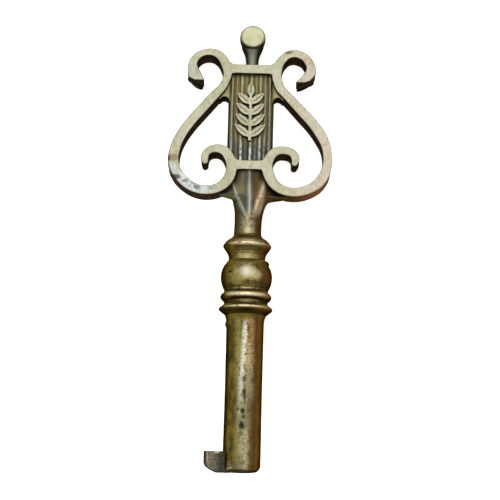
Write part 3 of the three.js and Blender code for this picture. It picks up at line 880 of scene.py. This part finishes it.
# %% [markdown]
# ## Ground for every finish
# Old brass is never one colour. Its patina follows the shape: hands polish what
# stands proud. Much of the shading that follows the shape is painted light too:
# painted highlights on fronts, painted shade in corners, grooves and undersides
# and on left-facing sides, and a painted warm reflection on right-facing ones.
# Every finish therefore starts from the same ground: where a point lies on the
# key, in millimetres, and how far its surface faces the front and the right
# side. Layers are then put over each other by masks, as a gilder would lay them.

# %% Start a finish
GRAZING = "3A342A"     # patina scatters what bare metal would mirror at a grazing angle


class Finish:
    """A metal finish being laid, which knows where each point of the key lies and which way it faces."""

    def __init__(self, name):
        self.material = bpy.data.materials.new(name)
        self.material.use_nodes = True
        self.tree = self.material.node_tree
        self.tree.nodes.clear()
        coordinate = self.add("TexCoord").node.outputs
        undo = TURN.transposed()
        self.spot = self.add("Mapping", {
            "Vector": coordinate["Object"], "Location": -(undo @ ORIGIN) / MM,
            "Rotation": undo.to_euler(), "Scale": (1 / MM, 1 / MM, 1 / MM)})
        self.x, self.y, self.z = self.add("SeparateXYZ", {0: self.spot}).node.outputs
        self.normal = coordinate["Normal"]

    def add(self, kind, inputs=None, **settings):
        return add(self.tree, kind, inputs, **settings)

    def facing(self, way):
        """How far the surface turns towards a way: 1 squarely towards it, and -1 away from it."""
        return self.add("VectorMath", {0: self.normal, 1: way}, operation="DOT_PRODUCT").node.outputs["Value"]

    def where(self, *masks):
        """The product of masks. Each is a socket, a number, or a value with the point at which its mask
        begins and the one at which it is full, which may be the lower of the two."""
        share = None
        for mask in masks:
            if isinstance(mask, tuple):
                value, begins, full = mask
                rising = begins < full
                low, high = (begins, full) if rising else (full, begins)
                mask = self.add("MapRange", {0: value, 1: low, 2: high, 3: 1.0 - rising, 4: 0.0 + rising},
                                interpolation_type="SMOOTHSTEP")
            share = mask if share is None else self.add("Math", {0: share, 1: mask}, operation="MULTIPLY")
        return share

    def over(self, below, *layers):
        """A colour with layers put over it in turn. Each is a tone and the masks that let it show.
        A colour or a tone is a hex value or a socket."""
        for tone, *masks in layers:
            lower, upper = (linear(c) if isinstance(c, str) else c for c in (below, tone))
            below = self.add("Mix", {0: self.where(*masks), 6: lower, 7: upper}, data_type="RGBA")
        return below

    def mottle(self, size, detail=3.0, rough=0.55, stretch=(1.0, 1.0, 1.0), turned_by=0.0):
        """Noise with lumps about size mm across, drawn out or turned if asked."""
        scale = tuple(1.0 / (size * s) for s in stretch)
        placed = self.add("Mapping", {"Vector": self.spot, "Rotation": (0.0, 0.0, turned_by), "Scale": scale})
        return self.add("TexNoise", {"Vector": placed, "Scale": 1.0, "Detail": detail, "Roughness": rough})

    def soft_patch(self, grain, x, y, across, along, ragged=0.5):
        """A soft-edged patch about a point of the key, its rim made ragged by the grain."""
        placed = self.add("Mapping", {"Vector": self.spot, "Location": (-x / across, -y / along, 0.0),
                                      "Scale": (1 / across, 1 / along, 0.0)})
        away = self.add("VectorMath", {0: placed}, operation="LENGTH").node.outputs["Value"]
        broken = self.add("Math", {0: grain, 1: ragged, 2: away}, operation="MULTIPLY_ADD")
        return self.where((broken, 1.0 + ragged / 2, 0.45 + ragged / 2))

    def soft_patches(self, colour, grain, rows, *masks, ragged=0.5):
        """Patches laid over a colour in turn, real stains and painted highlights alike.
        Each row is x, y, half-width, half-length, tone, strength.
        """
        for x, y, across, along, tone, strength in rows:
            patch = self.soft_patch(grain, x, y, across, along, ragged)
            colour = self.over(colour, (tone, patch, *masks, strength))
        return colour

    def done(self, colour, rough, relief, strength, depth, tint=GRAZING):
        """Joins all to the shader. rough is a socket, or a value, its two ends and the roughness at each.
        The relief is depth mm high."""
        if isinstance(rough, tuple):
            rough = self.add("MapRange", dict(enumerate(rough)))
        bump = self.add("Bump", {"Height": relief, "Strength": strength, "Distance": depth * MM})
        shine = self.add("BsdfPrincipled", {
            "Base Color": colour, "Roughness": rough, "Normal": bump,
            "Metallic": 1.0, "Specular Tint": linear(tint)})
        out = self.tree.nodes.new("ShaderNodeOutputMaterial")
        self.tree.links.new(shine, out.inputs["Surface"])
        return self.material


def coat(finish, *pieces):
    """Gives the pieces their finish, in place of any plain one."""
    for piece in pieces:
        piece.data.materials.clear()
        piece.data.materials.append(finish)
    print(finish.name, "on", [piece.name for piece in pieces])


# %% [markdown]
# ## Hand-polished cast brass
# The bow is sand-cast brass, filed flat and polished by hand on its faces only.
# The faces are pale and satin, almost ivory, with greener and pinker clouds,
# hair-fine scratches, a few stains and a painted highlight on the left lobe's
# worn bevel. The side walls were never touched, so they keep a dark oxide, and
# their near-black colour is also painted shade, kept though they face the
# bright sheet. The eye reads that as a bright line drawing with a dark
# underside. It is a metal all through, so metallic stays at 1.

# %% Make the bow's finish
POLISHED_FROM, POLISHED_TO = 2.08, 2.2     # heights where the polish begins and is full, mm
# Stains on the bow's faces. The first row, pale blue-white on the left lobe's worn bevel, is worn metal with
# a painted highlight.
BOW_STAINS_AND_HIGHLIGHT = (
    (-13.0, 13.4, 0.7, 1.3, "A8AEB2", 0.6), (-8.8, 10.2, 0.8, 0.5, "3A403E", 0.75),
    (-10.9, 11.2, 0.9, 0.4, "50565A", 0.6), (-6.1, 10.1, 1.5, 0.5, "767A76", 0.55),
    (-12.5, 11.9, 1.2, 0.6, "34262A", 0.85), (-13.2, 15.3, 1.9, 0.9, "6E5634", 0.7),
    (-13.9, 15.2, 0.5, 0.8, "2C1C0E", 0.85), (-9.35, 31.2, 0.35, 1.6, "7A7454", 0.6),
    (6.2, 34.55, 1.1, 0.42, "5C5224", 0.8), (12.6, 18.2, 0.9, 0.22, "8A7A60", 0.6),
    (2.6, 31.5, 0.5, 0.5, "8C9488", 0.5), (-9.6, 33.2, 0.6, 0.5, "8A8A50", 0.45),
    (9.9, 33.0, 1.9, 1.2, "94805F", 0.45), (-4.6, 29.9, 0.5, 0.8, "9A9664", 0.4),
)


def cast_brass():
    f = Finish("hand_polished_cast_brass")
    front = f.facing(UP)
    cloud = f.mottle(4.5)
    grain = f.mottle(0.55, detail=4.0)
    fine = f.mottle(0.16, detail=2.0)
    height = f.add("Math", {0: f.z}, operation="ABSOLUTE")
    flatness = f.add("Math", {0: front}, operation="ABSOLUTE")
    polished = f.where((height, POLISHED_FROM, POLISHED_TO), (flatness, 0.42, 0.72))
    low_lobe = f.soft_patch(grain, -9.6, 11.2, 4.8, 3.2)
    face = f.over(
        "9C9A87",
        ("8F9078", (cloud, 0.45, 0.7)),
        ("9A8C78", (f.x, 4.0, 12.5), (cloud, 0.62, 0.35)),
        ("A8A295", (f.x, 6.5, 11.0), 0.55),
        ("949A90", f.soft_patch(grain, -10.2, 30.6, 1.6, 3.0), 0.6),
        ("B2B8BC", low_lobe, 0.8),
        ("5E666A", low_lobe, (f.mottle(0.8, detail=4.0), 0.5, 0.68), 0.6))
    face = f.soft_patches(face, grain, BOW_STAINS_AND_HIGHLIGHT)
    face = f.over(face, ("6E6A4C", (fine, 0.68, 0.8), 0.35), ("ABA998", (grain, 0.55, 0.75), 0.3))
    # The walls are near-black: partly the oxide of untouched brass, partly painted shade that keeps them dark
    # though they face the bright sheet.
    wall = f.over(
        "332B24",
        ("4C4031", (grain, 0.4, 0.75)),
        ("7E5C44", (f.x, 5.0, 12.0), (f.y, 16.0, 10.0), 0.7),
        ("5A4A28", (height, 1.75, 2.2), (cloud, 0.5, 0.7), 0.6))
    one_way = f.mottle(0.06, detail=1.0, stretch=(1.0, 26.0, 1.0), turned_by=0.6)
    other_way = f.mottle(0.07, detail=1.0, stretch=(1.0, 18.0, 1.0), turned_by=-0.9)
    drawn = f.add("Math", {0: one_way, 1: other_way}, operation="MAXIMUM")
    scratches = f.where((drawn, 0.62, 0.72))
    colour = f.over(wall, (face, polished), ("857F62", scratches, polished, 0.25))
    satin = f.add("MapRange", {0: grain, 1: 0.3, 2: 0.7, 3: 0.42, 4: 0.56})
    rough = f.add("Mix", {0: polished, 2: 0.62, 3: satin}, data_type="FLOAT")
    relief = f.add("Math", {0: f.where(scratches, -0.5), 1: fine, 2: grain}, operation="MULTIPLY_ADD")
    relief = f.add("Math", {0: relief, 1: scratches}, operation="SUBTRACT")
    return f.done(colour, rough, relief, 0.5, 0.02, tint="8A7C68")


coat(cast_brass(), *bow_pieces)

# %% [markdown]
# ## The reeds' dull brass
# Nothing polishes the panel behind the sprig but the tips of fingers, so it
# keeps a dull olive patina, greyer towards the tail bar, with a dark brown
# painted shadow under the yoke. The reeds' crests are rubbed to thin bright
# lines, which are also painted highlights. The panel's sides are near-black,
# as oxide and as painted shade.

# %% Make the reeds' finish
def reed_brass():
    f = Finish("olive_patina_cast_brass")
    front = f.facing(UP)
    cloud = f.mottle(2.2)
    grain = f.mottle(0.35, detail=4.0, stretch=(1.0, 2.5, 1.0))
    low = f.where((f.y, 21.0, 17.0))
    crest = f.add("Attribute", attribute_name="crest").node.outputs["Fac"]
    upper = f.where((crest, 0.45, 0.95), (grain, 0.3, 0.6))
    off_middle = f.add("Math", {0: f.x}, operation="ABSOLUTE")
    bead = f.over("5E6058", ("5C583C", (f.y, 25.8, 27.2)), ("5A5A50", (f.y, 22.5, 19.0)))
    colour = f.over(
        "726B48",
        ("4A4C44", low),
        ("7A6C48", (cloud, 0.5, 0.7), 0.6),
        # Pale crests: worn metal and a painted highlight along each reed.
        (f.over("9A9678", ("BCBDB6", low)), upper),
        (bead, (off_middle, 2.7, 3.1), upper, 0.9),
        ("5E5C50", (f.x, 1.0, 1.8), upper, 0.7),
        ("A29A76", (off_middle, 3.85, 4.05), 0.75),
        ("B0947A", f.soft_patch(cloud, -4.75, 27.3, 0.5, 0.6, ragged=0.9), 0.6),
        # A painted shadow: a dark brown band on the panel just under the yoke.
        ("3A3420", (f.y, 29.9, 30.5), 0.5))
    # Sides that face neither front nor back are near-black: oxide and painted shade.
    faces_out = f.add("Math", {0: f.where((front, 0.25, 0.6)), 1: f.where((front, -0.25, -0.6))},
                      operation="MAXIMUM")
    colour = f.over("2C2620", (colour, faces_out))
    return f.done(colour, (upper, 0.0, 1.0, 0.58, 0.34), grain, 0.6, 0.03)


coat(reed_brass(), string_panel)

# %% [markdown]
# ## Brown-gold patina of the turned stem
# The collars and the bulb are turned brass under a golden-brown patina. It is
# worn to a pale cream along the front, which is also a painted highlight. The
# faces turned towards the bow are painted lighter, grooves and the faces turned
# towards the tip are painted dark as shade, the right side is painted brown as
# a warm reflection, and the far left is painted nearly black as shade. That
# gives the eye a round form even in flat light.

# %% Make the stem's finish
# The first three rows are a painted highlight on the bulb: pale in the middle, a yellow smear to the lower
# left and a tan patch to the right. The others darken the bulb's lower front, mark the nick, and lay a duller
# olive patch on the cove.
STEM_STAINS_AND_HIGHLIGHTS = (
    (0.1, -4.5, 1.9, 1.3, "A3A194", 0.75), (-1.4, -5.9, 1.5, 1.1, "8C8444", 0.6),
    (1.55, -4.95, 1.25, 1.0, "C2AE84", 0.6), (0.8, -6.3, 1.9, 0.5, "4E3C14", 0.6),
    (-2.8, -4.5, 0.55, 0.2, "1C1608", 0.9), (0.1, -1.7, 1.7, 0.8, "8A8458", 0.75),
)


def stem_brass():
    f = Finish("turned_brass_brown_gold_patina")
    front = f.facing(UP)
    side = f.facing(ACROSS)
    rise = f.facing(ALONG)
    # The recess mark: how deep a point lies below the rims near it, used for painted shade in the grooves.
    depth = f.add("Attribute", attribute_name="recess_shade").node.outputs["Fac"]
    nose_wear_and_highlight = f.add("Attribute", attribute_name="rim").node.outputs["Fac"]
    cloud = f.mottle(1.3)
    blotch = f.mottle(0.8, detail=4.0)
    grain = f.mottle(0.35, detail=4.0)
    # Painted light by facing: brown on the right as a warm reflection, dark on the left as shade, pale cream
    # on the front as wear and painted highlight, dark as shade in recesses and on faces turned towards the
    # tip, and lighter on faces turned towards the bow as painted light.
    colour = f.over(
        "5E4F22",
        ("7A6C30", (cloud, 0.38, 0.65)),
        ("4C3622", (side, 0.25, 0.7), 0.9),
        ("332C18", (side, -0.5, -0.9), 0.85),
        ("ACA070", (front, 0.68, 0.98), (blotch, 0.36, 0.62), 0.75),
        ("2E2410", (rise, -0.12, -0.5), (depth, -0.35, 0.4), 0.75),
        ("2A200E", (depth, 0.55, 1.0), 0.7),
        ("8E8050", (rise, 0.35, 0.75), 0.7))
    colour = f.soft_patches(colour, blotch, STEM_STAINS_AND_HIGHLIGHTS, (front, 0.0, 0.3), ragged=0.9)
    colour = f.over(
        colour,
        # On the collars' noses: brown on the right as a painted warm reflection, and cream on the front as
        # wear and a painted highlight. The bright front speckles after them are wear and painted highlight
        # too.
        ("8A6A4C", nose_wear_and_highlight, (side, 0.2, 0.6), 0.5),
        ("E2D2AC", (nose_wear_and_highlight, 0.2, 0.7), (front, 0.55, 0.9), (blotch, 0.2, 0.5), 0.85),
        ("C6BA88", (grain, 0.42, 0.28), (front, 0.6, 0.95), 0.55),
        ("2A200E", (grain, 0.58, 0.78), 0.5),
        ("5E4E24", (front, -0.1, -0.6), 0.6))
    tool_rings = f.mottle(0.1, detail=1.0, stretch=(30.0, 1.0, 30.0))
    relief = f.add("Math", {0: tool_rings, 1: 0.5, 2: grain}, operation="MULTIPLY_ADD")
    return f.done(colour, (blotch, 0.3, 0.7, 0.34, 0.52), relief, 0.6, 0.03)


coat(stem_brass(), *stem_pieces)

# %% [markdown]
# ## The neck's soft patina
# Thumb and finger hold the key at the neck, so its ribs are rubbed to a soft
# grey-white that fades into brown, cooler on the left rib and warmer on the
# right, and the pale ribs are also painted highlights. The hollows between them
# keep their patina. The left-facing side is painted dark as shade, the
# right-facing side brown as a warm reflection, and a speckled pale patch down
# the lower front and a cream patch at the foot are painted highlights.

# %% Make the neck's finish
def neck_brass():
    f = Finish("ribbed_neck_brown_patina")
    front = f.facing(UP)
    side = f.facing(ACROSS)
    crest = f.add("Attribute", attribute_name="crest").node.outputs["Fac"]
    cloud = f.mottle(1.6)
    grain = f.mottle(0.4, detail=4.0)
    rib = f.over("8F958C", ("B09C80", (f.x, 0.5, 1.4)), ("6E7068", (f.y, 10.0, 12.5)))
    # Painted light: dark on the left-facing side as shade, brown on the right-facing side as a warm
    # reflection, a speckled pale highlight down the lower front, ribs pale as wear and highlight, and a cream
    # highlight at the foot.
    colour = f.over(
        "53523E",
        ("463823", (f.x, -0.9, 1.2)),
        ("6A5E38", (cloud, 0.45, 0.7), 0.5),
        ("3B3420", (side, -0.5, -0.9), 0.85),
        ("46301A", (side, 0.55, 0.9), 0.85),
        ("9C9272", (f.y, 7.4, 5.2), (front, 0.7, 0.97), (grain, 0.3, 0.62), 0.75),
        (rib, (crest, 0.05, 1.0), 0.85),
        ("A89C78", f.soft_patch(grain, 0.2, 2.9, 1.2, 0.7), (front, 0.3, 0.6), 0.6),
        ("2A2214", (grain, 0.6, 0.8), 0.35),
        ("5A4C2A", (front, -0.1, -0.6), 0.5))
    return f.done(colour, (grain, 0.3, 0.7, 0.36, 0.52), grain, 0.6, 0.03)


coat(neck_brass(), neck)

# %% [markdown]
# ## The peg and its button
# The button's front is polished like the bow. The peg behind it is dark at its
# sides, with a grey-green line down the front that is wear where fingers reach
# it and a painted highlight. The button's side wall is painted lighter, as
# painted light.

# %% Make the finial's finish
def peg_brass():
    f = Finish("button_polished_peg_dark_brass")
    front = f.facing(UP)
    cloud = f.mottle(1.8)
    grain = f.mottle(0.4, detail=4.0)
    disc = f.where((f.z, 2.0, 2.15), (front, 0.3, 0.7))
    face = f.over("939279", ("87886D", (cloud, 0.4, 0.65)), ("A3A18A", (grain, 0.5, 0.7), 0.4))
    # A grey-green front line as wear and painted highlight, and a lighter side wall on the button as painted
    # light.
    colour = f.over(
        "3C382E",
        ("4E4A3E", (cloud, 0.4, 0.7)),
        ("76776A", (front, 0.6, 0.97), 0.85),
        ("6E6A58", (f.z, 1.2, 1.9), (front, -0.2, 0.2), 0.7),
        (face, disc))
    return f.done(colour, (disc, 0.0, 1.0, 0.48, 0.42), grain, 0.5, 0.02)


coat(peg_brass(), finial)

# %% [markdown]
# ## Pitted barrel brass
# The barrel wears an olive-yellow patina. It is painted red-brown on the right
# as a warm reflection and dark on the left as shade. A broken streak down its
# front is worn to pale metal and painted as a highlight, with dark pits in it.
# The streak stays where it is, and the softbox brightens it further.

# %% Make the barrel's finish
BAND_START = -13.0     # the y at which a band of wear has its middle where its row says
WORN_BANDS = (         # tone, strength, middle, drift, half-width, low y, high y, fade
    ("96925A", 0.75, -1.2, 0.02, 1.0, -26.0, -11.5, 6.0), ("A8865E", 0.8, 1.1, 0.02, 0.9, -21.0, -11.6, 2.0),
    ("B4A682", 0.75, 0.4, 0.07, 1.0, -27.0, -15.5, 4.0), ("807E64", 0.9, 0.1, 0.0, 2.0, -40.0, -20.5, 2.0),
    ("8E875E", 0.8, -2.0, 0.0, 0.8, -40.0, -35.4, 2.0), ("8E8C50", 0.6, -1.0, 0.0, 0.8, -36.5, -29.0, 2.0),
    ("B4A986", 0.6, 0.7, 0.0, 0.6, -39.0, -30.0, 2.0),
)
PIT_SPREAD = 1.25      # a pit's dark rim reaches past the pit itself
DARK_PITS = (          # x, y, half-width, half-length, strength
    (0.1, -22.4, 0.45, 0.6, 0.75), (0.15, -24.6, 0.32, 0.7, 0.9), (0.3, -25.4, 0.12, 1.3, 0.8),
    (-0.1, -27.65, 0.42, 0.42, 1.0), (-0.9, -27.4, 0.24, 0.26, 0.8), (0.1, -28.6, 0.34, 0.36, 0.85),
    (-0.2, -30.1, 0.5, 0.6, 1.0), (-0.2, -31.4, 0.3, 0.3, 0.6), (0.9, -27.6, 0.16, 0.2, 0.7),
    (1.15, -16.9, 0.75, 0.08, 0.7), (0.6, -13.9, 0.16, 0.6, 0.6), (-1.6, -33.6, 0.7, 0.9, 0.35),
    (0.1, -36.1, 0.6, 0.5, 0.45), (1.5, -22.6, 0.4, 0.6, 0.5), (-2.0, -18.6, 0.5, 0.8, 0.4),
)


def barrel_brass():
    f = Finish("pitted_olive_barrel_brass")
    front = f.facing(UP)
    side = f.facing(ACROSS)
    cloud = f.mottle(1.4, stretch=(1.0, 1.8, 1.0))
    blotch = f.mottle(0.75, detail=4.0, stretch=(1.0, 1.5, 1.0))
    grain = f.mottle(0.3, detail=4.0)
    on_front = f.where((front, 0.1, 0.4))
    wander = f.add("Math", {0: blotch, 1: 1.0, 2: -0.5}, operation="MULTIPLY_ADD")

    def band(middle, drift, half_width, low, high, fade):
        """A soft band along the barrel, for wear and for the streak's painted highlight.
        It drifts to the left by drift for each mm up.
        """
        off = f.add("Math", {0: f.y, 1: drift, 2: -BAND_START * drift - middle}, operation="MULTIPLY_ADD")
        off = f.add("Math", {0: f.add("Math", {0: off, 1: f.x}), 1: wander})
        off = f.add("Math", {0: off}, operation="ABSOLUTE")
        return f.where((off, half_width, 0.0), (f.y, low, low + fade), (f.y, high, high - 1.2), on_front)

    # Red-brown on the right-facing side is a painted warm reflection, and dark on the left-facing side is
    # painted shade.
    colour = f.over(
        "574A1D",
        ("776A30", (cloud, 0.4, 0.64)),
        ("5C4220", (side, 0.25, 0.55), 0.9),
        ("463018", (side, 0.75, 0.98), 0.7),
        ("2C2718", (side, -0.62, -0.92), 0.85),
        ("3C3014", (blotch, 0.5, 0.75), 0.6))
    for tone, strength, *row in WORN_BANDS:
        colour = f.over(colour, (tone, band(*row), (grain, 0.72, 0.4), strength))
    halos = ((0.0, -29.3, 0.7, 2.4, "3E402E", 0.45), (0.1, -24.3, 0.5, 2.4, "3E402E", 0.45))
    colour = f.soft_patches(colour, blotch, halos, on_front, ragged=1.2)
    # The streak: pale worn metal and a painted highlight down the front.
    streak = band(0.1, -0.055, 0.7, -31.0, -12.2, 10.0)
    colour = f.over(colour, ("B2B4A6", streak, (grain, 0.8, 0.42), 0.95))
    pits = [(x, y, PIT_SPREAD * across, PIT_SPREAD * along, "2A2C20", strength)
            for x, y, across, along, strength in DARK_PITS]
    colour = f.soft_patches(colour, grain, pits, on_front, ragged=1.9)
    colour = f.over(
        colour,
        # A painted glint near the mouth.
        ("C0B48A", f.soft_patch(grain, -1.9, -36.95, 0.6, 0.18, ragged=1.9), on_front, 0.6),
        ("2A220E", (grain, 0.58, 0.8), 0.4),
        # Painted shade on the barrel where the bit meets it.
        ("15110B", f.soft_patch(grain, -3.1, -36.0, 0.7, 2.2), 0.8),
        # The tip's end is painted dark as shade.
        ("2E2214", (f.y, -37.1, -37.4), 0.8))
    relief = f.add("Math", {0: blotch, 1: grain})
    return f.done(colour, (blotch, 0.3, 0.7, 0.36, 0.54), relief, 0.7, 0.035)


coat(barrel_brass(), barrel)

# %% [markdown]
# ## Filed steel and drawn steel
# The bit is a darker, greyer metal than the barrel, filed by hand, with small
# brown rust spots. It is darker along its left edge, and painted dark as shade
# towards the barrel and on its sides. The core inside the collars is plain
# drawn rod, seen only down the bore, so it keeps its CAD shape and gets fine
# lines along its length.

# %% Make the two steels
def filed_steel():
    f = Finish("filed_rusty_steel")
    front = f.facing(UP)
    grain = f.mottle(0.4, detail=4.0, rough=0.65)
    fine = f.mottle(0.12, detail=2.0)
    colour = f.over(
        "4A4538",
        ("706B5C", (grain, 0.4, 0.62)),
        ("3A2C18", (fine, 0.58, 0.72), 0.6),
        # Painted shade: darker towards the barrel, where the bit meets it.
        ("22231C", (f.x, -4.9, -3.3), 0.8),
        ("9A9484", f.soft_patch(grain, -5.62, -35.3, 0.12, 1.3), 0.6),
        ("14100B", (f.x, -5.8, -5.95), 0.85),
        ("A8A89C", f.soft_patch(grain, -4.1, -34.4, 0.6, 0.2), 0.8),
        # Sides painted dark as shade.
        ("2A251E", (front, 0.85, 0.5), 0.85))
    return f.done(colour, (grain, 0.3, 0.7, 0.4, 0.6), grain, 0.8, 0.035)


def drawn_steel():
    f = Finish("drawn_steel_rod")
    lines = f.mottle(0.09, detail=2.0, stretch=(1.0, 30.0, 1.0))
    return f.done(f.over("5A5850", ("8C8A82", lines)), (lines, 0.3, 0.7, 0.3, 0.45), lines, 0.4, 0.01)


coat(filed_steel(), bit)
coat(drawn_steel(), frame["nodes"]["stem_core"])

# %% [markdown]
# ## The visible model's size
# The visible model's size is printed in millimetres before the script ends.
# The visible model must stay inside the CAD model's box.

# %% Print the visible model's size
low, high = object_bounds()
print("visual box, mm:", [round(1000 * (h - l), 2) for l, h in zip(low, high)])
